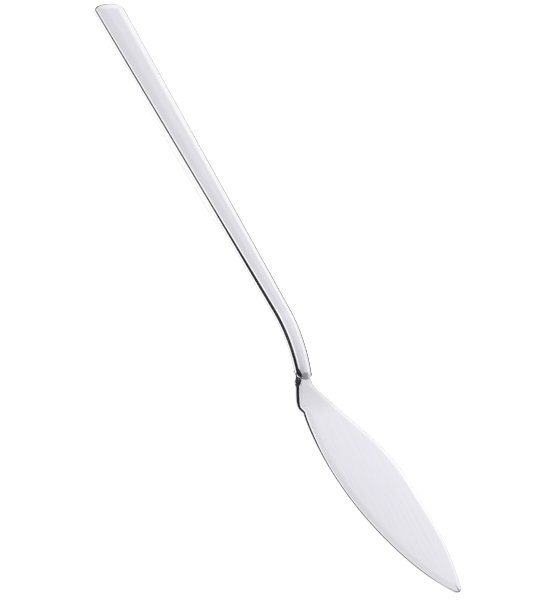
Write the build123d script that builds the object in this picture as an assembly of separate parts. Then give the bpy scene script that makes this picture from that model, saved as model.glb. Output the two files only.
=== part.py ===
from build123d import *
import os
from math import acos, cos, degrees, hypot, radians, sin, tan

# A fish knife with a slim hollow handle. It lies on its flat blade and on the underside of its butt.
# Working frame: X runs from the butt to the tip, Y to the spine side of the blade, Z up from the table.
# The butt's crown is at X 0 and the handle's middle line is at Y 0. All lengths are millimetres.

# Handle: a tapered bar that rises from the butt and is cranked down to the blade
STRAIGHT_LENGTH = 114.4
HANDLE_RISE = 2.1  # degrees above the table
HANDLE_DEPTH = 3.4  # top face to underside
BUTT_WIDTH = 10.1
NOSE_WIDTH = 5.1
BUTT_CROWN_RADIUS = 10.0
CRANK_RADIUS = 36.0  # of the top face
RIM_HEIGHT = 3.1  # the edge where the top face turns down into the nose
NOSE_SLOPE = 37.0  # degrees, of the nose's front face
TOP_EDGE_RADIUS = 0.7
BELLY_EDGE_RADIUS = 1.4
BUTT_CORNER_EXTRA = 0.6  # by which the butt's corners are rounder than the belly edge
SHELL_WALL = 0.6
FLOOR_GAP = 0.3  # under the front end of the lower shell

# Blade: a flat leaf, thickest at its heel, with a bevelled rim
BLADE_LENGTH = 76.0  # back of the heel to where spine and belly would meet
HEEL_THICKNESS = 2.0
TIP_THICKNESS = 1.1
CROWN_RADIUS = 160.0  # the top face is slightly rounded across the blade
NECK_WIDTH = 4.0
NECK_OFFSET = 0.35  # by which the neck's middle lies to the belly side of the handle's middle line
SHOULDER_RUN = 5.5  # back of the heel to where the spine leaves the neck
SHOULDER_ANGLE = 26.5  # degrees, of the spine there
SPINE_OFFSET = 16.55  # crest of the spine, from the handle's middle line
CREST_RUN = 53.75  # back of the heel to that crest
SPINE_FULLNESS = 27.0  # reach of the curve between shoulder and crest
BELLY_OFFSET = 6.85  # deepest point of the belly, on the other side
BELLY_RUN = 25.5  # back of the heel to that point
BELLY_FULLNESS = 22.2  # reach of the curve between belly and tip
HEEL_OFFSET = 6.6  # corner of the thick heel, on the belly side
HEEL_RUN = 11.5  # back of the heel to that corner
FLARE_REACH = 3.1  # of the curve that widens the neck to that corner, at each of its ends
HEEL_STEP = 0.7  # from the thick heel in to the ground edge
TIP_OFFSET = 13.35
TIP_ANGLE = 58.0  # degrees, of the belly where it meets the tip
TIP_FULLNESS = 11.0
TIP_FLAT_RADIUS = 0.3  # of the flat top at the tip, inside the bevel
BEVEL_WIDTH = 1.6
BEVEL_DROP = 0.5

# Notch: a leaning nick on the belly side, where the handle meets the blade
NOTCH_OFFSET = 1.6  # from the handle's middle line to the root of the nick, at the seat
NOTCH_RUN = 2.65  # back of the heel to that root
NOTCH_TILT = 37.0  # degrees by which the root leans in from upright
NOTCH_BACK_TURN = 26.0  # degrees, of the flank on the handle's side
NOTCH_FRONT_TURN = 40.0  # degrees, of the flank on the blade's side

# Tang and its cement
TANG_LENGTH = 38.0
TANG_WIDTH = 2.0
TANG_THICKNESS = 1.3
KEY_LENGTH = 2.4  # notches in the tang that key it into the cement
KEY_DEPTH = 0.4
KEY_PITCH = 9.0
KEY_COUNT = 2
CEMENT_OVERRUN = 5.0  # beyond the end of the tang

# Clearances
SEAT_GAP = 0.05  # between the heel and the shells
TANG_GAP = 0.05  # all round the tang
CEMENT_GAP = 0.03  # between the cement and the shells

# How far blocks reach before they are trimmed to shape, and how near counts as on a face
OVERRUN = 20.0
NEAR = 0.01

# Places that follow from the driving dimensions, as X and Z
rise = radians(HANDLE_RISE)
butt_top = HANDLE_DEPTH / cos(rise) - BELLY_EDGE_RADIUS * tan(rise)
crank_start = Vector(STRAIGHT_LENGTH, butt_top + STRAIGHT_LENGTH * tan(rise))
crank_centre = crank_start + Vector(sin(rise), -cos(rise)) * CRANK_RADIUS
middle_depth = HANDLE_DEPTH / 2
seat_height = HEEL_THICKNESS + SEAT_GAP


def dip_at_height(depth, height):
    """Degrees past the top of the crank at which the course at a depth comes down to a height."""
    return degrees(acos((height - crank_centre.Y) / (CRANK_RADIUS - depth)))


def crank_point(depth, height):
    """Point where the course at a depth under the top face comes down to a height."""
    dip = radians(dip_at_height(depth, height))
    return crank_centre + Vector(sin(dip), cos(dip)) * (CRANK_RADIUS - depth)


def straight_point(depth, x):
    """Point of the handle's straight stretch at a depth under the top face."""
    return Vector(x, butt_top + x * tan(rise) - depth / cos(rise))


rim = crank_point(0, RIM_HEIGHT)
nose_foot = Vector(rim.X + (RIM_HEIGHT - seat_height) / tan(radians(NOSE_SLOPE)), seat_height)
seat_back = crank_point(middle_depth, seat_height)
lower_front = crank_point(HANDLE_DEPTH, FLOOR_GAP).X
cavity_front = lower_front - SHELL_WALL
heel_back = lower_front + SEAT_GAP
tang_end = heel_back - TANG_LENGTH
tip_radius = BEVEL_WIDTH + TIP_FLAT_RADIUS


def course(depth, start_x, end_height):
    """Line and arc along the handle at a depth under its top face, down to a height."""
    dip = dip_at_height(depth, end_height)
    arc = CenterArc(crank_centre, CRANK_RADIUS - depth, 90 + HANDLE_RISE, -HANDLE_RISE - dip)
    return [Line(straight_point(depth, start_x), arc @ 0), arc]


def on_course(point, depth):
    """Whether a point lies on the face at a depth."""
    if point.X <= STRAIGHT_LENGTH:
        return abs(point.Z - straight_point(depth, point.X).Y) < NEAR
    reach = hypot(point.X - crank_centre.X, point.Z - crank_centre.Y)
    return abs(reach - CRANK_RADIUS + depth) < NEAR


def side_slab(edges, half_width):
    """Slab with the given side view, as wide on both sides of the handle's middle line."""
    return extrude(Plane.XZ * make_face(edges), half_width, both=True)


def course_slab(top_depth, low_depth, start_x, end_height, half_width):
    """Slab between two courses of the handle."""
    top = course(top_depth, start_x, end_height)
    low = course(low_depth, start_x, end_height)
    back = Line(top[0] @ 0, low[0] @ 0)
    front = Line(top[1] @ 1, low[1] @ 1)
    return side_slab([*top, front, *low, back], half_width)


def plan_face(inset, front_x):
    """Plan of the handle with its rounded butt, taken in by an inset and cut off at front_x."""
    half_back = BUTT_WIDTH / 2 - inset
    half_front = half_back - (BUTT_WIDTH - NOSE_WIDTH) / 2 * front_x / rim.X
    sides = Polygon(
        (0, -half_back), (front_x, -half_front), (front_x, half_front), (0, half_back), align=None
    )
    crown = Pos(BUTT_CROWN_RADIUS, 0) * Circle(BUTT_CROWN_RADIUS - inset)
    rest_length = front_x - BUTT_CROWN_RADIUS
    rest = Pos(BUTT_CROWN_RADIUS + rest_length / 2, 0) * Rectangle(rest_length, BUTT_WIDTH)
    plan = sides & (crown + rest)
    butt_corners = plan.vertices().group_by(Axis.X)[0]
    return fillet(butt_corners, BELLY_EDGE_RADIUS + BUTT_CORNER_EXTRA - inset)


def long_edges(solid, depth):
    """Edges along the sides and round the butt of the face at a depth, without those straight across."""
    picked = []
    for edge in solid.edges():
        points = [edge @ share for share in (0, 0.5, 1)]
        across = max(point.X for point in points) - min(point.X for point in points) < NEAR
        if not across and all(on_course(point, depth) for point in points):
            picked.append(edge)
    return picked


def cavity(gap):
    """Hollow inside the two shells, taken in by a gap."""
    inset = SHELL_WALL + gap
    low_depth = HANDLE_DEPTH - inset
    slab = course_slab(inset, low_depth, -OVERRUN, 0, BUTT_WIDTH)
    hollow = slab & extrude(plan_face(inset, cavity_front - gap), OVERRUN)
    return fillet(long_edges(hollow, low_depth), BELLY_EDGE_RADIUS - inset)


def tang(gap):
    """Notched bar that follows the middle of the handle, swollen by a gap for the room that it needs."""
    half = TANG_THICKNESS / 2 + gap
    half_width = TANG_WIDTH / 2 + gap
    end_height = HEEL_THICKNESS / 2
    bar = course_slab(middle_depth - half, middle_depth + half, tang_end - gap, end_height, half_width)
    for index in range(KEY_COUNT):
        place = straight_point(middle_depth, tang_end + KEY_PITCH * (index + 0.5))
        for side in (-1, 1):
            key = Box(KEY_LENGTH - 2 * gap, 2 * KEY_DEPTH, HANDLE_DEPTH)
            bar -= Pos(place.X, side * half_width, place.Y) * key
    return bar


def notch():
    """Leaning wedge that cuts the notch on the belly side."""
    lean = radians(NOTCH_TILT)
    root = Vector(heel_back + NOTCH_RUN, -NOTCH_OFFSET, seat_height)
    place = Plane(root, x_dir=(1, 0, 0), z_dir=(0, sin(lean), cos(lean)))
    back = Vector(-OVERRUN, 0).rotate(Axis.Z, NOTCH_BACK_TURN)
    front = Vector(OVERRUN, 0).rotate(Axis.Z, -NOTCH_FRONT_TURN)
    wedge = make_face(Polyline((0, 0), back, front, close=True))
    return extrude(place * wedge, OVERRUN, both=True)


def upper_shell(hollow):
    """Upper half of the handle, with the solid nose that sits on the heel."""
    top = course(0, -OVERRUN, RIM_HEIGHT)
    low = course(middle_depth, -OVERRUN, seat_height)
    nose = [Line(rim, nose_foot), Line(nose_foot, seat_back)]
    slab = side_slab([*top, *nose, *low, Line(top[0] @ 0, low[0] @ 0)], BUTT_WIDTH)
    outer = slab & extrude(plan_face(0, nose_foot.X), OVERRUN)
    return fillet(long_edges(outer, 0), TOP_EDGE_RADIUS) - hollow - notch()


def lower_shell(hollow):
    """Lower half of the handle, which ends just behind the heel."""
    slab = course_slab(middle_depth, HANDLE_DEPTH, -OVERRUN, 0, BUTT_WIDTH)
    outer = slab & extrude(plan_face(0, lower_front), OVERRUN)
    return fillet(long_edges(outer, HANDLE_DEPTH), BELLY_EDGE_RADIUS) - hollow


def blade_plan():
    """Plan of the blade: neck, spine, tip, belly, step and flare of the heel."""
    neck_right = NECK_WIDTH / 2 - NECK_OFFSET
    neck_left = neck_right - NECK_WIDTH
    shoulder = Vector(heel_back + SHOULDER_RUN, neck_right)
    crest = Vector(heel_back + CREST_RUN, SPINE_OFFSET)
    tip = Vector(heel_back + BLADE_LENGTH, TIP_OFFSET)
    deepest = Vector(heel_back + BELLY_RUN, -BELLY_OFFSET)
    heel = Vector(heel_back + HEEL_RUN, -HEEL_OFFSET)
    edge_start = heel + Vector(2 * HEEL_STEP, HEEL_STEP)
    shoulder_way = Vector(SPINE_FULLNESS, 0).rotate(Axis.Z, SHOULDER_ANGLE)
    tip_way = Vector(TIP_FULLNESS, 0).rotate(Axis.Z, TIP_ANGLE)
    flare = Vector(FLARE_REACH, 0)
    edges = [
        Line((heel_back, neck_left), (heel_back, neck_right)),
        Line((heel_back, neck_right), shoulder),
        Bezier(shoulder, shoulder + shoulder_way, crest - Vector(SPINE_FULLNESS, 0), crest),
        TangentArc(crest, tip, tangent=(1, 0)),
        Bezier(tip, tip - tip_way, deepest + Vector(BELLY_FULLNESS, 0), deepest),
        TangentArc(deepest, edge_start, tangent=(-1, 0)),
        Line(edge_start, heel),
        Bezier(heel, heel - flare, Vector(heel_back, neck_left) + flare, (heel_back, neck_left)),
    ]
    plan = make_face(edges)
    return fillet(plan.vertices().sort_by(Axis.X)[-1], tip_radius)


def crown_block():
    """Long cylinder whose upper side is the blade's top face."""
    heel = Vector(heel_back, 0, HEEL_THICKNESS)
    tip = Vector(heel_back + BLADE_LENGTH, TIP_OFFSET, TIP_THICKNESS)
    along = (tip - heel).normalized()
    across = Vector(0, 0, 1).cross(along).normalized()
    middle = (heel + tip) / 2 - along.cross(across) * CROWN_RADIUS
    return Plane(middle, x_dir=across, z_dir=along) * Cylinder(CROWN_RADIUS, 2 * BLADE_LENGTH)


def blade():
    """Leaf with a crowned top and a bevelled rim in front of the heel, and the tang behind it."""
    leaf = extrude(blade_plan(), HEEL_THICKNESS + OVERRUN) & crown_block()
    top = leaf.faces().filter_by(GeomType.CYLINDER).sort_by(SortBy.AREA)[-1]
    bevel_start = heel_back + HEEL_RUN + 2 * HEEL_STEP
    rim_edges = [edge for edge in top.edges() if (edge @ 0.5).X > bevel_start]
    leaf = chamfer(rim_edges, BEVEL_WIDTH, BEVEL_DROP, reference=top)
    return leaf - notch() + tang(0)


def tang_cement(tang_room):
    """Filling of the front of the cavity, round the tang."""
    start = tang_end - CEMENT_OVERRUN
    length = cavity_front - start
    reach = Pos(start + length / 2, 0, 0) * Box(length, BUTT_WIDTH, 2 * OVERRUN)
    return (cavity(CEMENT_GAP) & reach) - tang_room


tang_room = tang(TANG_GAP)
hollow = cavity(0) + tang_room
pieces = {
    "blade": blade(),
    "handle_upper_shell": upper_shell(hollow),
    "handle_lower_shell": lower_shell(hollow),
    "tang_cement": tang_cement(tang_room),
}

# The origin goes to the middle of the whole knife's box, at table level
box = Compound(children=[Part(piece.wrapped) for piece in pieces.values()]).bounding_box()
to_origin = Pos(-box.center().X, -box.center().Y, -box.min.Z)

os.makedirs("parts", exist_ok=True)
for name, piece in pieces.items():
    export_step(to_origin * piece, f"parts/{name}.step")
print("box", box.size, "origin moved by", to_origin.position)
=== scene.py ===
from math import atan, atan2, cos, hypot, pi, radians, sin, sqrt, tan

import bmesh
import bpy
import numpy as np
from mathutils import Matrix, Vector


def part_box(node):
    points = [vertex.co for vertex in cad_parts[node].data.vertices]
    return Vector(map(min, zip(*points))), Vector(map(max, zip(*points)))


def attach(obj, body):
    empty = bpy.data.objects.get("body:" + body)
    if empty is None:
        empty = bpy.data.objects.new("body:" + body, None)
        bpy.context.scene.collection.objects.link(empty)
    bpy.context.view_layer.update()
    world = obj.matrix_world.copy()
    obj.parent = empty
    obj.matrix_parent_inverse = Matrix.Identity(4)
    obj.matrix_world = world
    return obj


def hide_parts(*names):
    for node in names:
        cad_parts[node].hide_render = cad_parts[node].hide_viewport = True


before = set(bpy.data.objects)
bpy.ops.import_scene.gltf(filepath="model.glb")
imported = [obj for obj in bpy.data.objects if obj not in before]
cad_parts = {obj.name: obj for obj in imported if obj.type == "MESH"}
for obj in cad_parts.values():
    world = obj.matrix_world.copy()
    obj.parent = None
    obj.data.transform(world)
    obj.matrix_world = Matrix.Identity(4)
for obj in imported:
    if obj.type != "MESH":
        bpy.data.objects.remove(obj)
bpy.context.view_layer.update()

# A polished fish knife. Lengths are millimetres in the CAD source's working frame: X 0 at the butt, Y 0 on
# the handle's middle line, Z 0 on the table. Angles are degrees. These are the CAD's own sizes, apart from
# those that a comment or heading calls only shown here.

# Handle
STRAIGHT_LENGTH = 114.4
HANDLE_RISE = 2.1
HANDLE_DEPTH = 3.4
BUTT_WIDTH = 10.1
NOSE_WIDTH = 5.1
BUTT_CROWN_RADIUS = 10.0
BUTT_CORNER_RADIUS = 2.0
CRANK_RADIUS = 36.0
RIM_HEIGHT = 3.1
NOSE_SLOPE = 37.0
BELLY_EDGE_RADIUS = 1.4
SHELL_WALL = 0.6
FLOOR_GAP = 0.3

# The handle's edges, only shown here: a flat bevel along the top, and under it a rounded edge with a facet
BAND_AT_BUTT = 2.95  # bevel and rounded edge together, in plan
BAND_AT_NOSE = 2.12
BEVEL_TILT = 13.0
EDGE_AT_BUTT = 0.8  # radius of the rounded edge
EDGE_RADIUS = 1.0
EDGE_RUN = 30.0  # over which the first radius grows to the second
FACET_WIDTH = 0.48
FACET_TILT = 57.0
FACET_START = 62.0  # where the facet starts to widen
SPINE_FACET_TILT = 37.0
SPINE_FACET_START = 20.0
FACET_FULL = 118.0  # where it has its full width
CROWN_FACET = 0.35  # round the butt's crown
CROWN_FACET_RUN = 12.0
START_AT_BUTT = 1.6  # where the section starts on the top face, in bevel widths from the facet
START_AT_NOSE = 1.2
CREASE_AT_BUTT = 0.4  # softness of the crease above the bevel, in bevel widths
CREASE_AT_NOSE = 0.15
SEAM_GROOVE = 0.05
SEAM_SOFTNESS = 0.01
HOLLOW_DEPTH = 1.0  # ceiling of the hollow, lower than the CAD's so that it clears the bevel
LEAST_DEPTH = 0.001  # smallest depth of the nose at its foot
LEAST_CORNER = 0.05  # smallest radius of a corner and smallest width of a facet

# Blade
BLADE_LENGTH = 76.0
HEEL_THICKNESS = 2.0
TIP_THICKNESS = 1.1
CROWN_RADIUS = 160.0
NECK_WIDTH = 4.0
NECK_OFFSET = 0.35
SHOULDER_RUN = 5.5
SHOULDER_ANGLE = 26.5
SPINE_OFFSET = 16.55
CREST_RUN = 53.75
SPINE_FULLNESS = 27.0
BELLY_OFFSET = 6.85
BELLY_RUN = 25.5
BELLY_FULLNESS = 22.2
HEEL_OFFSET = 6.6
HEEL_RUN = 11.5
FLARE_REACH = 3.1
HEEL_STEP = 0.7
TIP_OFFSET = 13.35
TIP_ANGLE = 58.0
TIP_FULLNESS = 11.0
TIP_RADIUS = 1.9
BLADE_BEVEL_WIDTH = 1.6
BLADE_BEVEL_DROP = 0.5

# The blade's edges, only shown here: a bevel that fades in from the neck, over a rounded, faceted edge
FAINT_BEVEL_WIDTH = 0.6
FAINT_BEVEL_DROP = 0.04
EDGE_DROP = 0.2  # part of the bevel's drop that the rounded edge takes
SPINE_BEVEL_START = 2.0  # from the back of the heel
BELLY_BEVEL_RUN = 4.0  # from the heel's corner
TIP_BEVEL_LOSS = 0.6  # share of the spine's bevel that is lost round the crest
TIP_LOSS_BEFORE = 12.0  # it fades from this far before the crest
TIP_LOSS_AFTER = 8.0  # to this far after it
BLADE_START = 1.3  # where the section starts on the top face, in bevel widths from the facet
BLADE_CREASE = 0.25  # softness of the crease above the bevel, in bevel widths
WALL_SOFTNESS = 0.98  # share of the lower rounding that is used, which keeps it inside the section's end
UNDER_ROUND = 0.12  # radius along the underside
HEEL_EDGE = 0.9  # radius of the rounded edge on the heel
LEAF_EDGE = 0.5
HEEL_FACET = 0.7
HEEL_FACET_TILT = 51.0
HEEL_FACET_START = 1.0  # from the back of the heel
HEEL_FACET_FULL = 4.0
HEEL_FADE_BEFORE = 3.0  # run over which the heel's facet becomes the leaf's, before the heel's corner
HEEL_FADE_AFTER = 1.0
LEAF_FACET = 0.2
SPINE_FACET = 0.2
LEAF_FACET_RUN = 22.0

# Notch, with the CAD's root and its flank on the handle's side
NOTCH_OFFSET = 1.6
NOTCH_RUN = 2.65
NOTCH_TILT = 37.0
NOTCH_BACK_TURN = 26.0
# Its flank in front of the root, only shown here, which turns less in the nose and runs out along the heel
NOTCH_FRONT_TURN = 5.0
HEEL_NOTCH_TILT = 44.0
HEEL_NOTCH_TURN = 36.5
NOTCH_FLOOR = 0.45
NOTCH_RUN_OUT = 0.2

# Tang, and the gap between the heel and the shells
TANG_LENGTH = 38.0
TANG_WIDTH = 2.0
TANG_THICKNESS = 1.3
TANG_REACH = 0.5  # into the heel, only shown here
KEY_LENGTH = 2.4
KEY_DEPTH = 0.4
KEY_PITCH = 9.0
KEY_COUNT = 2
SEAT_GAP = 0.05

# Fineness of the meshes: points along curves and stations or sections along the pieces
CORNER_STEPS = 8
STRAIGHT_STEPS = 12
TOP_STEPS = 12
HOLLOW_STEPS = 4
BOTTOM_STEPS = 8
ROUND_STEPS = 12
CROWN_STATIONS = 17
CORNER_STATIONS = 13
STRAIGHT_STATIONS = 43
CRANK_STATIONS = 51
NOSE_STATIONS = 47
FRONT_STATIONS = 5
CRANK_SHARE = 0.84  # share of the side's length at which the close stations of the crank start
NOSE_SHARE = 0.965
NECK_POINTS = 40
SPINE_POINTS = 600
CREST_POINTS = 900
FLARE_POINTS = 200
STEP_POINTS = 20
REAR_POINTS = 200
FORE_POINTS = 1200
TIP_ARC_STEPS = 160
EVEN_POINTS = 6001
NORMAL_WINDOW = 41
HEEL_SECTIONS = 121
LEAF_SECTIONS = 101
TIP_SECTIONS = 81
HEEL_SHARE = 0.2  # share of the blade's length at which its sections get wider apart
TIP_SHARE = 0.9
BLADE_TOP_STEPS = 16
BLADE_WALL_STEPS = 12
UNDER_ROUND_STEPS = 4
BLADE_UNDER_STEPS = 8
TANG_SECTIONS = 30
TANG_REST_START = 1.0  # from the last key to the first of these sections

# Limits for cleaning the meshes, in metres, and the angle from which an edge is sharp
MERGE_DISTANCE = 2e-7
LEAST_EDGE = 1e-7
SHARP_ANGLE = 32.0

# Camera, solved from the photo: its target is in the shared frame, in metres
CAMERA_TARGET = Vector((0.006233, -0.003061, 0.004))
CAMERA_DISTANCE = 1.0
CAMERA_LEAN = radians(39.935)
CAMERA_SWING = radians(26.111)
CAMERA_ROLL = radians(-61.699)
CAMERA_LENS = 219.2
SENSOR_WIDTH = 36.0

# Studio, in metres: a table a hair under the knife, and between the two the cards that the metal sees
TABLE_SIZE = 8.0
TABLE_HEIGHT = -0.00003
CARD_HEIGHT = -0.00001
CARD_REACH = 2.0
DARK_CARD = 0.02  # tones of the cards
WHITE_CARD = 1.15
LAMP_STRENGTH = 2.4  # of the room's light on the table

# Stretch of the knife, in metres along X of the shared frame, where the steel's colour is painted a little
# darker as painted shade
NECK_SHADE_START = 0.0298
NECK_SHADE_END = 0.046

# Places that follow from these sizes, as X and Z
rise = radians(HANDLE_RISE)
butt_top = HANDLE_DEPTH / cos(rise) - BELLY_EDGE_RADIUS * tan(rise)
crank_centre_x = STRAIGHT_LENGTH + CRANK_RADIUS * sin(rise)
crank_centre_z = butt_top + STRAIGHT_LENGTH * tan(rise) - CRANK_RADIUS * cos(rise)
middle_depth = HANDLE_DEPTH / 2
seat_height = HEEL_THICKNESS + SEAT_GAP


def crank_x(depth, height):
    """X at which the course at a depth under the top face comes down to a height."""
    reach = CRANK_RADIUS - depth
    return crank_centre_x + sqrt(reach**2 - (height - crank_centre_z) ** 2)


rim_x = crank_x(0, RIM_HEIGHT)
nose_foot_x = rim_x + (RIM_HEIGHT - seat_height) / tan(radians(NOSE_SLOPE))
lower_front = crank_x(HANDLE_DEPTH, FLOOR_GAP)
cavity_front = lower_front - SHELL_WALL
heel_back = lower_front + SEAT_GAP
heel_x = heel_back + HEEL_RUN
crest_x = heel_back + CREST_RUN
tang_end = heel_back - TANG_LENGTH
taper = (BUTT_WIDTH - NOSE_WIDTH) / 2 / rim_x
lean = atan(taper)

# The working frame's origin in the shared frame, in metres
upper_low, upper_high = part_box("handle_upper_shell")
frame_origin = np.array([upper_low.x, (upper_low.y + upper_high.y) / 2, 0.0])


def mix(start, end, share):
    return start + (end - start) * share


def ease(low, high, x):
    """Smooth step from 0 at low to 1 at high."""
    t = min(max((x - low) / (high - low), 0), 1)
    return t * t * (3 - 2 * t)


def between(first, last, count):
    """Points on the straight line between two points."""
    return [tuple(mix(np.array(first), np.array(last), step / count)) for step in range(1, count)]


def mirrored(points):
    return [(x, -y, z) for x, y, z in points]


def soft_profile(corners, reaches):
    """Close points along a polyline with each inner corner rounded off over its reach."""
    corners = [np.array(corner, float) for corner in corners]
    points = [corners[0]]
    for before, corner, after, reach in zip(corners, corners[1:], corners[2:], reaches):
        start = corner + (before - corner) * reach / np.linalg.norm(before - corner)
        end = corner + (after - corner) * reach / np.linalg.norm(after - corner)
        last = points[-1]
        points += [mix(last, start, step / STRAIGHT_STEPS) for step in range(1, STRAIGHT_STEPS)]
        for step in range(CORNER_STEPS + 1):
            t = step / CORNER_STEPS
            points.append((1 - t) ** 2 * start + 2 * t * (1 - t) * corner + t**2 * end)
    last = points[-1]
    points += [mix(last, corners[-1], step / STRAIGHT_STEPS) for step in range(1, STRAIGHT_STEPS + 1)]
    return points


def edge_reaches(radius, bevel_tilt, facet_tilt):
    """How far a rounded edge reaches along its facet, from the bevel above and from the wall below."""
    return radius * tan((facet_tilt - bevel_tilt) / 2), radius * tan((pi / 2 - facet_tilt) / 2)


def course_height(x, depth):
    """Height of the handle's course at a depth under its top face."""
    start = STRAIGHT_LENGTH + depth * sin(rise)
    if x <= start:
        return butt_top + x * tan(rise) - depth / cos(rise)
    reach = CRANK_RADIUS - depth
    return crank_centre_z + sqrt(max(reach**2 - (x - crank_centre_x) ** 2, 0))


def nose_height(x):
    """Height of the nose's sloping front face."""
    return RIM_HEIGHT - (x - rim_x) * tan(radians(NOSE_SLOPE))


def top_height(x, depth):
    """Height at a depth under the top face, which ends in the sloping nose."""
    return min(course_height(x, depth), nose_height(x) - depth)


def seam_height(x):
    """Height of the seam between the shells, and of the nose's seat on the heel."""
    middle = course_height(x, middle_depth)
    return max(middle, seat_height) if x > STRAIGHT_LENGTH else middle


def seat_depth(x):
    """Depth under the top face at which the nose meets its seat, or the seam's depth behind the nose."""
    if x < STRAIGHT_LENGTH or course_height(x, middle_depth) >= seat_height:
        return middle_depth
    on_crank = CRANK_RADIUS - hypot(x - crank_centre_x, seat_height - crank_centre_z)
    on_slope = nose_height(x) - seat_height
    return max(min(on_crank, on_slope), LEAST_DEPTH)


def plan_point(stretch, share, inset, front_x):
    """Point of the handle's plan, taken in by an inset, on its crown, corner or side."""
    radius = BUTT_CROWN_RADIUS - inset
    corner = max(BUTT_CORNER_RADIUS - inset, LEAST_CORNER)
    offset = BUTT_WIDTH / 2 - inset - corner / cos(lean)
    # The corner's centre lies at its radius from the side and from the crown
    a = 1 + taper**2
    b = -2 * (BUTT_CROWN_RADIUS + taper * offset)
    c = BUTT_CROWN_RADIUS**2 + offset**2 - (radius - corner) ** 2
    corner_x = (-b - sqrt(b * b - 4 * a * c)) / (2 * a)
    corner_y = offset - taper * corner_x
    crown_end = atan2(corner_y, corner_x - BUTT_CROWN_RADIUS)
    if stretch == "crown":
        angle = mix(pi, crown_end, share)
        return BUTT_CROWN_RADIUS + radius * cos(angle), radius * sin(angle)
    if stretch == "corner":
        angle = mix(crown_end, pi / 2 - lean, share)
        return corner_x + corner * cos(angle), corner_y + corner * sin(angle)
    side_start = corner_x + corner * sin(lean)
    x = mix(side_start, front_x, share)
    return x, BUTT_WIDTH / 2 - inset - taper * x


def front_point(stretch, share, inset, front_x):
    """As plan_point, with a front stretch that runs across from the side's end to the middle line."""
    if stretch == "front":
        end_y = plan_point("side", 1, inset, front_x)[1]
        return front_x, end_y * (1 - share)
    return plan_point(stretch, share, inset, front_x)


def side_stations():
    """Stations round half of the handle's plan: close at the butt, along the crank and at the nose."""
    crown = [("crown", share) for share in np.linspace(0, 1, CROWN_STATIONS)]
    corner = [("corner", share) for share in np.linspace(0, 1, CORNER_STATIONS)[1:]]
    straight = np.linspace(0, CRANK_SHARE, STRAIGHT_STATIONS)[1:]
    crank = np.linspace(CRANK_SHARE, NOSE_SHARE, CRANK_STATIONS)[1:]
    nose = np.linspace(NOSE_SHARE, 1, NOSE_STATIONS)[1:]
    side = [("side", share) for share in np.concatenate([straight, crank, nose])]
    return crown + corner + side


def front_stations():
    """Stations across half of the front."""
    return [("front", share) for share in np.linspace(0, 1, FRONT_STATIONS)[1:]]


def nose_flank(x, z):
    """Y of the notch's flanks in the nose, one behind the notch's root and one in front of it."""
    root_x = heel_back + NOTCH_RUN
    shift = max(root_x - x, 0) * tan(radians(NOTCH_BACK_TURN))
    shift += max(x - root_x, 0) * tan(radians(NOTCH_FRONT_TURN))
    tilt = radians(NOTCH_TILT)
    return -NOTCH_OFFSET + (z - seat_height) * tan(tilt) - shift / cos(tilt)


def heel_flank(x, z):
    """Y of the notch's flank in the heel, which turns away past the nose."""
    past = max(x - nose_foot_x, 0)
    start = nose_flank(min(x, nose_foot_x), seat_height)
    drop = (seat_height - z) * tan(radians(HEEL_NOTCH_TILT))
    return start - drop - past * tan(radians(HEEL_NOTCH_TURN))


def notched(point, flank):
    """Point moved out of the notch, which runs out towards its floor."""
    x, y, z = point
    cut = max(flank(x, z) - y, 0)
    return x, y + cut * ease(NOTCH_FLOOR - NOTCH_RUN_OUT, NOTCH_FLOOR + NOTCH_RUN_OUT, z), z


def top_profile(x, facet_tilt):
    """Insets and depths from the flat top face over the bevel and the rounded edge to the seam."""
    share = min(max(x / rim_x, 0), 1)
    radius = mix(EDGE_AT_BUTT, EDGE_RADIUS, ease(0, EDGE_RUN, x))
    tilt = radians(facet_tilt)
    upper_reach, lower_reach = edge_reaches(radius, radians(BEVEL_TILT), tilt)
    # The facet on the spine side, which has the smaller tilt, starts sooner and goes round the crown
    steepness = (facet_tilt - SPINE_FACET_TILT) / (FACET_TILT - SPINE_FACET_TILT)
    nose_facet = FACET_WIDTH * ease(mix(SPINE_FACET_START, FACET_START, steepness), FACET_FULL, x)
    crown_facet = CROWN_FACET * (1 - ease(0, CROWN_FACET_RUN, x)) * (1 - steepness)
    facet = upper_reach + lower_reach + max(nose_facet, crown_facet, LEAST_CORNER)
    facet_in = facet * cos(tilt)
    bevel = mix(BAND_AT_BUTT, BAND_AT_NOSE, share) - facet_in
    bevel_drop = bevel * tan(radians(BEVEL_TILT))
    corners = [
        (facet_in + bevel * mix(START_AT_BUTT, START_AT_NOSE, share), 0),
        (facet_in + bevel, 0),
        (facet_in, bevel_drop),
        (0, bevel_drop + facet * sin(tilt)),
        (0, middle_depth - SEAM_GROOVE),
        (SEAM_GROOVE, middle_depth),
    ]
    crease = bevel * mix(CREASE_AT_BUTT, CREASE_AT_NOSE, share)
    return soft_profile(corners, [crease, upper_reach, lower_reach, SEAM_SOFTNESS])


def upper_half(station, facet_tilt):
    """Half of the upper shell's outer skin at a station, from the top face down to the seam or the seat."""
    stretch, share = station
    nominal_x = plan_point(stretch, share, 0, nose_foot_x)[0]
    profile = top_profile(nominal_x, facet_tilt)
    insets, depths = np.array(profile).T
    foot = np.interp(seat_depth(nominal_x), depths, insets)
    points = []
    for inset, depth in profile:
        x, y = plan_point(stretch, share, max(inset, foot), nose_foot_x)
        low = seam_height(x)
        z = max(top_height(x, depth), low)
        if depth >= middle_depth - SEAM_GROOVE:
            z = low + max(middle_depth - depth, 0) / middle_depth * SEAM_GROOVE
        points.append((x, y, z))
    return points


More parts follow.
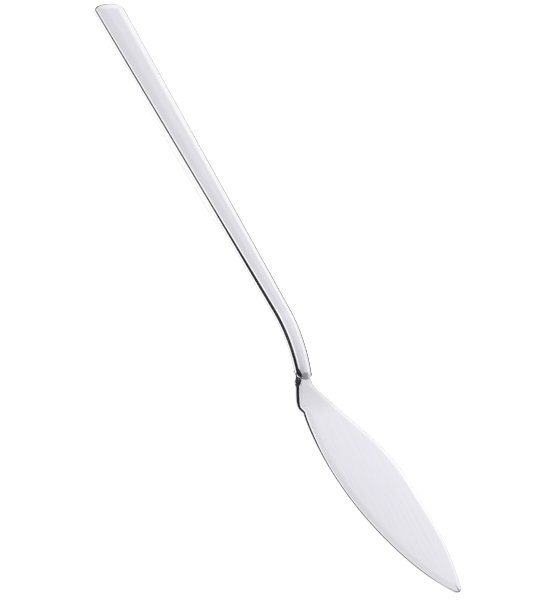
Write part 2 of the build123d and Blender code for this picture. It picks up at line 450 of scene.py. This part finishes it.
def upper_skin(station):
    """Outer skin of the upper shell at a station, from the belly side's seam over the top to the spine's."""
    stretch, share = station
    on_side = {"crown": 0, "corner": share}.get(stretch, 1)
    right = upper_half(station, SPINE_FACET_TILT)
    left = mirrored(upper_half(station, mix(SPINE_FACET_TILT, FACET_TILT, on_side)))
    skin = left[::-1] + between(left[0], right[0], TOP_STEPS) + right
    return [notched(point, nose_flank) for point in skin]


def inner_half(station, depths):
    """Half of the sealed hollow's skin at a station, at the given depths."""
    x, y = front_point(*station, SHELL_WALL, cavity_front)
    return [(x, y, course_height(x, depth)) for depth in depths]


def upper_loop(station, inner_station):
    """Closed section of the upper shell: outer skin, seam, inner skin."""
    right = inner_half(inner_station, (middle_depth, HOLLOW_DEPTH))
    left = mirrored(right)
    return upper_skin(station) + right + between(right[-1], left[-1], HOLLOW_STEPS) + left[::-1]


def lower_half(station):
    """Half of the lower shell's outer skin at a station, from the seam to the underside."""
    round_start = HANDLE_DEPTH - BELLY_EDGE_RADIUS
    profile = [(SEAM_GROOVE, middle_depth), (0, middle_depth + SEAM_GROOVE)]
    for step in range(ROUND_STEPS + 1):
        angle = pi / 2 * step / ROUND_STEPS
        profile.append((BELLY_EDGE_RADIUS * (1 - cos(angle)), round_start + BELLY_EDGE_RADIUS * sin(angle)))
    points = []
    for inset, depth in profile:
        x, y = front_point(*station, inset, lower_front)
        points.append((x, y, course_height(x, depth)))
    return points


def lower_loop(station):
    """Closed section of the lower shell: outer skin, seam, inner skin."""
    right = lower_half(station)
    left = mirrored(right)
    outer = right + between(right[-1], left[-1], BOTTOM_STEPS) + left[::-1]
    right = inner_half(station, (HANDLE_DEPTH - SHELL_WALL, middle_depth))
    left = mirrored(right)
    return outer + left[::-1] + between(left[0], right[0], HOLLOW_STEPS) + right


def bezier(points, count):
    """Points along a Bezier curve of any degree."""
    result = []
    for step in range(count + 1):
        t = step / count
        level = [np.array(p, float) for p in points]
        while len(level) > 1:
            level = [mix(p, q, t) for p, q in zip(level, level[1:])]
        result.append(level[0])
    return result


def angle_from(centre, point):
    return atan2(*(point - centre)[::-1])


def arc_points(centre, radius, first, last, count):
    """Points along an arc between two angles."""
    angles = np.linspace(first, last, count + 1)
    return [centre + radius * np.array([cos(angle), sin(angle)]) for angle in angles]


def tangent_arc(start, end, heading, count):
    """Points along the circle that leaves the start in the given heading and reaches the end."""
    start, end, heading = (np.array(p, float) for p in (start, end, heading))
    side = np.array([-heading[1], heading[0]])
    chord = end - start
    radius = chord @ chord / (2 * (chord @ side))
    centre = start + side * radius
    first = angle_from(centre, start)
    turn = (angle_from(centre, end) - first + pi) % (2 * pi) - pi
    return arc_points(centre, abs(radius), first, first + turn, count)


def spine_curve(tip):
    """Spine of the blade in plan, from the heel to where it would meet the belly."""
    neck_right = NECK_WIDTH / 2 - NECK_OFFSET
    shoulder = np.array([heel_back + SHOULDER_RUN, neck_right])
    crest = np.array([crest_x, SPINE_OFFSET])
    away = radians(SHOULDER_ANGLE)
    bend = shoulder + np.array([cos(away), sin(away)]) * SPINE_FULLNESS
    neck = [np.array([mix(heel_back, shoulder[0], s / NECK_POINTS), neck_right]) for s in range(NECK_POINTS)]
    rear = bezier([shoulder, bend, crest - [SPINE_FULLNESS, 0], crest], SPINE_POINTS)[:-1]
    return np.array(neck + rear + tangent_arc(crest, tip, (1, 0), CREST_POINTS))


def belly_curve(tip):
    """Belly of the blade in plan, from the heel over its flare and step to where it would meet the spine."""
    neck_left = np.array([heel_back, -NECK_WIDTH / 2 - NECK_OFFSET])
    deepest = np.array([heel_back + BELLY_RUN, -BELLY_OFFSET])
    heel = np.array([heel_x, -HEEL_OFFSET])
    edge_start = heel + [2 * HEEL_STEP, HEEL_STEP]
    tip_way = radians(TIP_ANGLE)
    bend = tip - np.array([cos(tip_way), sin(tip_way)]) * TIP_FULLNESS
    reach = np.array([FLARE_REACH, 0])
    flare = bezier([heel, heel - reach, neck_left + reach, neck_left], FLARE_POINTS)[::-1]
    step_line = [mix(heel, edge_start, s / STEP_POINTS) for s in range(1, STEP_POINTS)]
    rear = tangent_arc(deepest, edge_start, (-1, 0), REAR_POINTS)[::-1]
    fore = bezier([tip, bend, deepest + [BELLY_FULLNESS, 0], deepest], FORE_POINTS)[::-1]
    return np.array(flare + step_line + rear + fore[1:])


def outward(points, sign):
    """Unit normals of a plan curve, on the side given by the sign."""
    way = np.gradient(points, axis=0)
    way /= np.linalg.norm(way, axis=1)[:, None]
    return np.stack([-way[:, 1], way[:, 0]], axis=1) * sign


def rounded_tip(spine, belly):
    """Both sides cut back to the tip's arc, which is split between them."""
    inner_spine = spine - outward(spine, 1) * TIP_RADIUS
    inner_belly = belly - outward(belly, -1) * TIP_RADIUS
    near_tip = [len(curve) // 2 for curve in (spine, belly)]
    gaps = np.linalg.norm(inner_spine[near_tip[0]:, None] - inner_belly[None, near_tip[1]:], axis=2)
    spine_end, belly_end = np.unravel_index(np.argmin(gaps), gaps.shape)
    spine_end += near_tip[0]
    belly_end += near_tip[1]
    centre = (inner_spine[spine_end] + inner_belly[belly_end]) / 2
    first = angle_from(centre, spine[spine_end])
    last = angle_from(centre, belly[belly_end])
    arc = arc_points(centre, TIP_RADIUS, first, last, TIP_ARC_STEPS)
    half = TIP_ARC_STEPS // 2
    spine_side = np.array(list(spine[:spine_end]) + arc[:half + 1])
    belly_side = np.array(list(belly[:belly_end]) + arc[:half - 1:-1])
    return spine_side, belly_side


def blade_marks():
    """Shares of each side's length at which the blade has a section: close at the heel and at the tip."""
    heel = np.linspace(0, HEEL_SHARE, HEEL_SECTIONS)
    leaf = np.linspace(HEEL_SHARE, TIP_SHARE, LEAF_SECTIONS)[1:]
    tip = TIP_SHARE + (1 - TIP_SHARE) * np.sin(np.linspace(0, pi / 2, TIP_SECTIONS)[1:])
    return np.concatenate([heel, leaf, tip])


def interpolated(at, places, pairs):
    """Pairs of numbers at the given places."""
    return np.stack([np.interp(at, places, pairs[:, axis]) for axis in (0, 1)], axis=1)


def at_marks(curve, sign):
    """Points and softened outward normals of one side of the blade, at its sections."""
    steps = np.linalg.norm(np.diff(curve, axis=0), axis=1)
    length = np.concatenate([[0], np.cumsum(steps)])
    even = np.linspace(0, length[-1], EVEN_POINTS)
    points = interpolated(even, length, curve)
    margin = NORMAL_WINDOW // 2
    padded = np.pad(outward(points, sign), ((margin, margin), (0, 0)), mode="edge")
    window = np.ones(NORMAL_WINDOW) / NORMAL_WINDOW
    normals = np.stack([np.convolve(padded[:, axis], window, "valid") for axis in (0, 1)], axis=1)
    normals /= np.linalg.norm(normals, axis=1)[:, None]
    at = blade_marks() * length[-1]
    return interpolated(at, even, points), interpolated(at, even, normals)


def crown_height(x, y):
    """Height of the blade's top face, which is part of a long cylinder."""
    heel = np.array([heel_back, 0, HEEL_THICKNESS])
    tip = np.array([heel_back + BLADE_LENGTH, TIP_OFFSET, TIP_THICKNESS])
    along = (tip - heel) / np.linalg.norm(tip - heel)
    flat = np.cross([0, 0, 1], along)
    flat /= np.linalg.norm(flat)
    middle = (heel + tip) / 2 - np.cross(along, flat) * CROWN_RADIUS
    dx, dy = x - middle[0], y - middle[1]
    run = dx * along[0] + dy * along[1]
    a = 1 - along[2] ** 2
    b = -2 * along[2] * run
    c = dx * dx + dy * dy - run * run - CROWN_RADIUS**2
    return middle[2] + (-b + sqrt(b * b - 4 * a * c)) / (2 * a)


def blade_profile(bevel_share, radius, flat, tilt):
    """Insets and drops from the blade's top face over its bevel and its rounded edge with a flat facet."""
    bevel = mix(FAINT_BEVEL_WIDTH, BLADE_BEVEL_WIDTH, bevel_share)
    bevel_drop = mix(FAINT_BEVEL_DROP, BLADE_BEVEL_DROP - EDGE_DROP, bevel_share)
    upper_reach, lower_reach = edge_reaches(radius, atan(bevel_drop / bevel), tilt)
    facet = upper_reach + lower_reach + flat
    facet_in = facet * cos(tilt)
    wall_start = bevel_drop + facet * sin(tilt)
    corners = [
        (facet_in + bevel * BLADE_START, 0),
        (facet_in + bevel, 0),
        (facet_in, bevel_drop),
        (0, wall_start),
        (0, wall_start + lower_reach),
    ]
    return soft_profile(corners, [bevel * BLADE_CREASE, upper_reach, lower_reach * WALL_SOFTNESS])


def spine_profile(x):
    """Profile of the blade's edge on the spine side."""
    bevel_share = ease(heel_back + SPINE_BEVEL_START, heel_back + SHOULDER_RUN, x)
    bevel_share -= TIP_BEVEL_LOSS * ease(crest_x - TIP_LOSS_BEFORE, crest_x + TIP_LOSS_AFTER, x)
    facet = mix(SPINE_FACET, LEAST_CORNER, ease(heel_x, crest_x, x))
    return blade_profile(bevel_share, LEAF_EDGE, facet, radians(SPINE_FACET_TILT))


def belly_profile(x):
    """Profile of the blade's edge on the belly side."""
    bevel_share = ease(heel_x, heel_x + BELLY_BEVEL_RUN, x)
    on_leaf = ease(heel_x, heel_x + LEAF_FACET_RUN, x)
    on_heel = 1 - ease(heel_x - HEEL_FADE_BEFORE, heel_x + HEEL_FADE_AFTER, x)
    from_nose = ease(heel_back + HEEL_FACET_START, heel_back + HEEL_FACET_FULL, x)
    leaf_facet = mix(LEAF_FACET, LEAST_CORNER, on_leaf)
    heel_facet = mix(LEAST_CORNER, HEEL_FACET, from_nose)
    facet = mix(leaf_facet, heel_facet, on_heel)
    tilt = radians(mix(FACET_TILT, HEEL_FACET_TILT, on_heel))
    return blade_profile(bevel_share, mix(HEEL_EDGE, LEAF_EDGE, on_leaf), facet, tilt)


def blade_half(point, normal, profile):
    """Half section of the blade, from its top face down to its underside."""
    points = []
    for inset, drop in profile:
        x, y = point - normal * inset
        points.append((x, y, crown_height(x, y) - drop))
    wall_top = points[-1][2]
    for step in range(1, BLADE_WALL_STEPS):
        points.append((*point, mix(wall_top, UNDER_ROUND, step / BLADE_WALL_STEPS)))
    for step in range(UNDER_ROUND_STEPS + 1):
        angle = pi / 2 * step / UNDER_ROUND_STEPS
        x, y = point - normal * UNDER_ROUND * (1 - cos(angle))
        points.append((x, y, UNDER_ROUND * (1 - sin(angle))))
    return points


def blade_loops():
    """Closed sections of the blade from its heel to its tip."""
    tip = np.array([heel_back + BLADE_LENGTH, TIP_OFFSET])
    spine, belly = rounded_tip(spine_curve(tip), belly_curve(tip))
    right_points, right_normals = at_marks(spine, 1)
    left_points, left_normals = at_marks(belly, -1)
    # Both sides end in one point of the tip's arc
    right_points[-1] = left_points[-1] = (right_points[-1] + left_points[-1]) / 2
    right_normals[-1] = left_normals[-1] = (right_normals[-1] + left_normals[-1]) / 2
    loops = []
    for right_at, right_way, left_at, left_way in zip(right_points, right_normals, left_points, left_normals):
        right = blade_half(right_at, right_way, spine_profile(right_at[0]))
        left = blade_half(left_at, left_way, belly_profile(left_at[0]))
        top = [(x, y, crown_height(x, y)) for x, y, _ in between(left[0], right[0], BLADE_TOP_STEPS)]
        under = between(right[-1], left[-1], BLADE_UNDER_STEPS)
        loops.append([notched(point, heel_flank) for point in left[::-1] + top + right + under])
    return loops


def tang_loops():
    """Sections of the notched tang, from its end to inside the heel."""
    half_width = TANG_WIDTH / 2
    edges = [(tang_end, half_width)]
    for index in range(KEY_COUNT):
        middle = tang_end + KEY_PITCH * (index + 0.5)
        for offset, cut in ((-0.5, 0), (-0.5, 1), (0.5, 1), (0.5, 0)):
            edges.append((middle + offset * KEY_LENGTH, half_width - cut * KEY_DEPTH))
    rest = np.linspace(edges[-1][0] + TANG_REST_START, heel_back + TANG_REACH, TANG_SECTIONS)
    edges += [(x, half_width) for x in rest]
    loops = []
    for x, half in edges:
        high = course_height(x, middle_depth - TANG_THICKNESS / 2)
        low = course_height(x, middle_depth + TANG_THICKNESS / 2)
        loops.append([(x, -half, high), (x, half, high), (x, half, low), (x, -half, low)])
    return loops


def add_tube(mesh, loops, close_start=False, close_end=False):
    """Adds closed sections, joined in a row, to a mesh that is being built."""
    rows = [[mesh.verts.new(np.array(p) / 1000 + frame_origin) for p in loop] for loop in loops]
    count = len(rows[0])
    for row, following in zip(rows, rows[1:]):
        for index in range(count):
            after = (index + 1) % count
            mesh.faces.new((row[index], row[after], following[after], following[index]))
    if close_start:
        mesh.faces.new(rows[0])
    if close_end:
        mesh.faces.new(rows[-1])
    return rows


def finished_piece(name, mesh, node, material):
    """Turns a built mesh into a smooth named piece that stands for a CAD node."""
    bmesh.ops.remove_doubles(mesh, verts=mesh.verts, dist=MERGE_DISTANCE)
    bmesh.ops.dissolve_degenerate(mesh, edges=mesh.edges, dist=LEAST_EDGE)
    bmesh.ops.recalc_face_normals(mesh, faces=mesh.faces)
    if mesh.calc_volume(signed=True) < 0:
        bmesh.ops.reverse_faces(mesh, faces=mesh.faces)
    data = bpy.data.meshes.new(name)
    mesh.to_mesh(data)
    mesh.free()
    data.shade_smooth()
    data.set_sharp_from_angle(angle=radians(SHARP_ANGLE))
    data.materials.append(material)
    piece = bpy.data.objects.new(name, data)
    bpy.context.scene.collection.objects.link(piece)
    weighted = piece.modifiers.new("flat faces stay flat", "WEIGHTED_NORMAL")
    weighted.keep_sharp = True
    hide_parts(node)
    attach(piece, "root")


def build_upper_shell(material):
    mesh = bmesh.new()
    stations = side_stations()
    front = front_stations()
    inner_stations = stations[:-len(front)] + front
    rows = add_tube(mesh, [upper_loop(*pair) for pair in zip(stations, inner_stations)])
    # The seat's front part, between the nose's edge and the front of the hollow
    skin_count = len(upper_skin(stations[-1]))
    mesh.faces.new(rows[-1][:skin_count + 1])
    finished_piece("handle_upper", mesh, "handle_upper_shell", material)


def build_lower_shell(material):
    mesh = bmesh.new()
    add_tube(mesh, [lower_loop(station) for station in side_stations() + front_stations()])
    finished_piece("handle_lower", mesh, "handle_lower_shell", material)


def build_blade(material):
    mesh = bmesh.new()
    add_tube(mesh, blade_loops(), close_start=True)
    add_tube(mesh, tang_loops(), close_start=True, close_end=True)
    finished_piece("blade_leaf", mesh, "blade", material)


def grey(value, blue=0.0):
    """Grey with a touch of blue in it."""
    return value, value - blue * 0.2, value + blue


def link(tree, source, target):
    tree.links.new(source, target)


def add_node(tree, kind, **inputs):
    """Adds a node and sets its inputs by name."""
    made = tree.nodes.new(kind)
    for name, value in inputs.items():
        made.inputs[name.replace("_", " ")].default_value = value
    return made


def calculated(tree, operation, *values):
    """Result of a math operation on sockets or numbers."""
    made = tree.nodes.new("ShaderNodeMath")
    made.operation = operation
    for socket, value in zip(made.inputs, values):
        if isinstance(value, (int, float)):
            socket.default_value = value
        else:
            link(tree, value, socket)
    return made.outputs[0]


def toned(tree, value, stops):
    """Colour that a value picks from a ramp of (place, colour) pairs."""
    made = tree.nodes.new("ShaderNodeValToRGB")
    elements = made.color_ramp.elements
    while len(elements) < len(stops):
        elements.new(0.5)
    for element, (place, colour) in zip(elements, stops):
        element.position = place
        element.color = (*colour, 1)
    link(tree, value, made.inputs["Fac"])
    return made.outputs["Color"]


def multiplied(tree, first, second):
    """Product of two colours."""
    made = tree.nodes.new("ShaderNodeMix")
    made.data_type = "RGBA"
    made.blend_type = "MULTIPLY"
    made.inputs["Factor"].default_value = 1.0
    link(tree, first, made.inputs["A"])
    link(tree, second, made.inputs["B"])
    return made.outputs["Result"]


def new_material(name):
    """Material with nodes, and its tree and shader."""
    material = bpy.data.materials.new(name)
    material.use_nodes = True
    return material, material.node_tree, material.node_tree.nodes["Principled BSDF"]


def noise(tree, vector, scale, detail):
    """Noise pattern over a vector."""
    made = add_node(tree, "ShaderNodeTexNoise", Scale=scale, Detail=detail)
    link(tree, vector, made.inputs["Vector"])
    return made.outputs["Fac"]


def painted_neck_shade(tree, place):
    """Painted shade: the steel's colour slightly darker round the neck and the heel."""
    parts = tree.nodes.new("ShaderNodeSeparateXYZ")
    link(tree, place, parts.inputs["Vector"])
    along = add_node(tree, "ShaderNodeMapRange", From_Min=NECK_SHADE_START, From_Max=NECK_SHADE_END)
    link(tree, parts.outputs["X"], along.inputs["Value"])
    stops = [
        (0.0, grey(1.0)),
        (0.06, grey(0.86)),
        (0.27, grey(0.84)),
        (0.57, grey(0.91)),
        (0.84, grey(1.0)),
    ]
    return toned(tree, along.outputs["Result"], stops)


def steel_material():
    """Mirror-polished stainless steel with fine polishing lines, a trace of wear, and painted shade round the
    neck and the heel.
    """
    material, tree, shader = new_material("polished steel")
    shader.inputs["Metallic"].default_value = 1.0
    place = tree.nodes.new("ShaderNodeTexCoord").outputs["Object"]
    # Polishing lines along the knife, in tone and in relief
    stretch = add_node(tree, "ShaderNodeMapping", Scale=(60, 2600, 2600))
    link(tree, place, stretch.inputs["Vector"])
    lines = noise(tree, stretch.outputs["Vector"], scale=1.0, detail=3.0)
    tone = toned(tree, lines, [(0.3, (0.90, 0.895, 0.91)), (0.7, (0.93, 0.925, 0.94))])
    # Painted shade: the colour is made darker round the neck and the heel
    link(tree, multiplied(tree, tone, painted_neck_shade(tree, place)), shader.inputs["Base Color"])
    bump = add_node(tree, "ShaderNodeBump", Strength=0.03, Distance=0.00002)
    link(tree, lines, bump.inputs["Height"])
    link(tree, bump.outputs["Normal"], shader.inputs["Normal"])
    # Broad patches of slightly duller metal
    patches = noise(tree, place, scale=70.0, detail=4.0)
    dull = toned(tree, patches, [(0.3, grey(0.07)), (0.75, grey(0.13))])
    link(tree, dull, shader.inputs["Roughness"])
    return material


def cement_material():
    """Grey-brown resin cement, grainy and matte."""
    material, tree, shader = new_material("cement")
    shader.inputs["Roughness"].default_value = 0.8
    place = tree.nodes.new("ShaderNodeTexCoord").outputs["Object"]
    grain = noise(tree, place, scale=900.0, detail=6.0)
    tone = toned(tree, grain, [(0.3, (0.42, 0.38, 0.31)), (0.7, (0.62, 0.58, 0.5))])
    link(tree, tone, shader.inputs["Base Color"])
    return material


def add_floor():
    """White table top."""
    bpy.ops.mesh.primitive_plane_add(size=TABLE_SIZE, location=(0, 0, TABLE_HEIGHT))
    floor = bpy.context.object
    floor.name = "floor"
    material, _, shader = new_material("white table")
    shader.inputs["Base Color"].default_value = (0.9, 0.9, 0.9, 1)
    shader.inputs["Roughness"].default_value = 0.9
    shader.inputs["Specular IOR Level"].default_value = 0.0
    floor.data.materials.append(material)


def room_directions(tree):
    """Where a ray goes: its angle over the knife, and its place along the room.

    The angle is 0 at the horizon behind the spine and 1 at the horizon in front of the belly. The place
    is 0 at the butt's end of the room and 1 at the blade's.
    """
    place = tree.nodes.new("ShaderNodeTexCoord")
    parts = tree.nodes.new("ShaderNodeSeparateXYZ")
    link(tree, place.outputs["Generated"], parts.inputs["Vector"])
    angle = calculated(tree, "ARCTAN2", parts.outputs["Z"], parts.outputs["Y"])
    over = calculated(tree, "DIVIDE", angle, pi)
    along = calculated(tree, "MULTIPLY_ADD", parts.outputs["X"], 0.5, 0.5)
    return over, along


def sky_tone(tree, over):
    """Tone over the knife: dark along both horizons, white above them and grey overhead."""
    stops = [
        (0.0, grey(0.02)),
        (0.03, grey(0.02)),
        (0.045, grey(1.02)),
        (0.15, grey(1.0)),
        (0.2, grey(0.9, 0.02)),
        (0.25, grey(0.83, 0.04)),
        (0.3, grey(0.8, 0.04)),
        (0.42, grey(0.74, 0.03)),
        (0.48, grey(0.66, 0.03)),
        (0.52, grey(0.66, 0.03)),
        (0.55, grey(1.1)),
        (0.76, grey(1.1)),
        (0.785, grey(0.01)),
    ]
    return toned(tree, over, stops)


def end_tone(tree, along):
    """Tone along the room: black at the butt's end and darker towards the blade's."""
    stops = [
        (0.0, grey(0.01)),
        (0.035, grey(0.01)),
        (0.05, grey(0.98)),
        (0.2, grey(0.98)),
        (0.27, grey(1.0)),
        (0.305, grey(1.08)),
        (0.335, grey(1.03)),
        (0.5, grey(1.0)),
        (0.6, grey(0.94)),
        (0.67, grey(0.9)),
        (0.72, grey(0.7)),
        (0.765, grey(0.42)),
        (0.9, grey(0.35)),
    ]
    return toned(tree, along, stops)


def mirrored_tone(tree):
    """Tone of the room by direction, as the polished metal sees it."""
    over, along = room_directions(tree)
    shade = multiplied(tree, sky_tone(tree, over), end_tone(tree, along))
    # The dark side in front of the belly ends towards the blade's end of the room
    in_front = toned(tree, over, [(0.765, grey(0.0)), (0.79, grey(1.0))])
    far_end = toned(tree, along, [(0.785, grey(0.0)), (0.84, grey(1.0))])
    opened = tree.nodes.new("ShaderNodeMix")
    opened.data_type = "RGBA"
    link(tree, calculated(tree, "MULTIPLY", in_front, far_end), opened.inputs["Factor"])
    link(tree, shade, opened.inputs["A"])
    opened.inputs["B"].default_value = (*grey(0.6, 0.02), 1)
    return opened.outputs["Result"]


def background(tree, strength):
    """Background of a strength, white until a colour is linked to it."""
    return add_node(tree, "ShaderNodeBackground", Color=(1, 1, 1, 1), Strength=strength)


def switched(tree, switch, otherwise, when_on):
    """One of two shaders, by a switch."""
    made = tree.nodes.new("ShaderNodeMixShader")
    link(tree, switch, made.inputs[0])
    link(tree, otherwise.outputs[0], made.inputs[1])
    link(tree, when_on.outputs[0], made.inputs[2])
    return made


def set_world():
    """Soft studio: white for the camera, bright for the table, tone by direction for the polished metal."""
    world = bpy.data.worlds.new("studio")
    bpy.context.scene.world = world
    world.use_nodes = True
    tree = world.node_tree
    tree.nodes.clear()
    mirrored_room = background(tree, 1.0)
    link(tree, mirrored_tone(tree), mirrored_room.inputs["Color"])
    path = tree.nodes.new("ShaderNodeLightPath")
    lit = switched(tree, path.outputs["Is Glossy Ray"], background(tree, LAMP_STRENGTH), mirrored_room)
    seen = switched(tree, path.outputs["Is Camera Ray"], lit, background(tree, 1.0))
    out = tree.nodes.new("ShaderNodeOutputWorld")
    link(tree, seen.outputs[0], out.inputs["Surface"])


def add_card(name, corners, tone):
    """Flat card that only the polished metal sees."""
    data = bpy.data.meshes.new(name)
    data.from_pydata(corners, [], [range(len(corners))])
    card = bpy.data.objects.new(name, data)
    bpy.context.scene.collection.objects.link(card)
    material = bpy.data.materials.new(name)
    material.use_nodes = True
    tree = material.node_tree
    tree.nodes.clear()
    glow = add_node(tree, "ShaderNodeEmission", Color=(*grey(tone), 1))
    out = tree.nodes.new("ShaderNodeOutputMaterial")
    link(tree, glow.outputs[0], out.inputs["Surface"])
    data.materials.append(material)
    card.visible_camera = False
    card.visible_diffuse = False
    card.visible_shadow = False


def add_table_cards():
    """What the polished metal sees of the table: dark behind the knife and white in front of it."""
    butt_x, middle_y = frame_origin[:2]
    nose_x = butt_x + nose_foot_x / 1000
    tip_x = butt_x + (heel_back + BLADE_LENGTH) / 1000
    tip_y = middle_y + TIP_OFFSET / 1000
    line = [(-CARD_REACH, middle_y), (nose_x, middle_y), (tip_x, tip_y), (CARD_REACH, tip_y)]
    for name, side, tone in (("dark table", 1, DARK_CARD), ("white table", -1, WHITE_CARD)):
        outline = line + [(CARD_REACH, side * CARD_REACH), (-CARD_REACH, side * CARD_REACH)]
        add_card(name, [(x, y, CARD_HEIGHT) for x, y in outline], tone)


def add_camera():
    """Camera as solved from the photo."""
    towards = Vector(
        (
            sin(CAMERA_SWING),
            -cos(CAMERA_SWING) * sin(CAMERA_LEAN),
            cos(CAMERA_SWING) * cos(CAMERA_LEAN),
        )
    )
    level = Vector((1, 0, 0))
    level = (level - towards * level.dot(towards)).normalized()
    upright = towards.cross(level)
    right = level * cos(CAMERA_ROLL) - upright * sin(CAMERA_ROLL)
    up = level * sin(CAMERA_ROLL) + upright * cos(CAMERA_ROLL)
    data = bpy.data.cameras.new("camera")
    data.lens = CAMERA_LENS
    data.sensor_width = SENSOR_WIDTH
    data.clip_start = 0.05
    data.clip_end = 50.0
    camera = bpy.data.objects.new("camera", data)
    turn = Matrix((right, up, towards)).transposed().to_4x4()
    camera.matrix_world = Matrix.Translation(CAMERA_TARGET + towards * CAMERA_DISTANCE) @ turn
    bpy.context.scene.collection.objects.link(camera)
    bpy.context.scene.camera = camera


steel = steel_material()
build_upper_shell(steel)
build_lower_shell(steel)
build_blade(steel)
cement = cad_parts["tang_cement"]
cement.data.materials.clear()
cement.data.materials.append(cement_material())

add_floor()
set_world()
add_table_cards()
add_camera()
bpy.context.scene.view_settings.view_transform = "Standard"
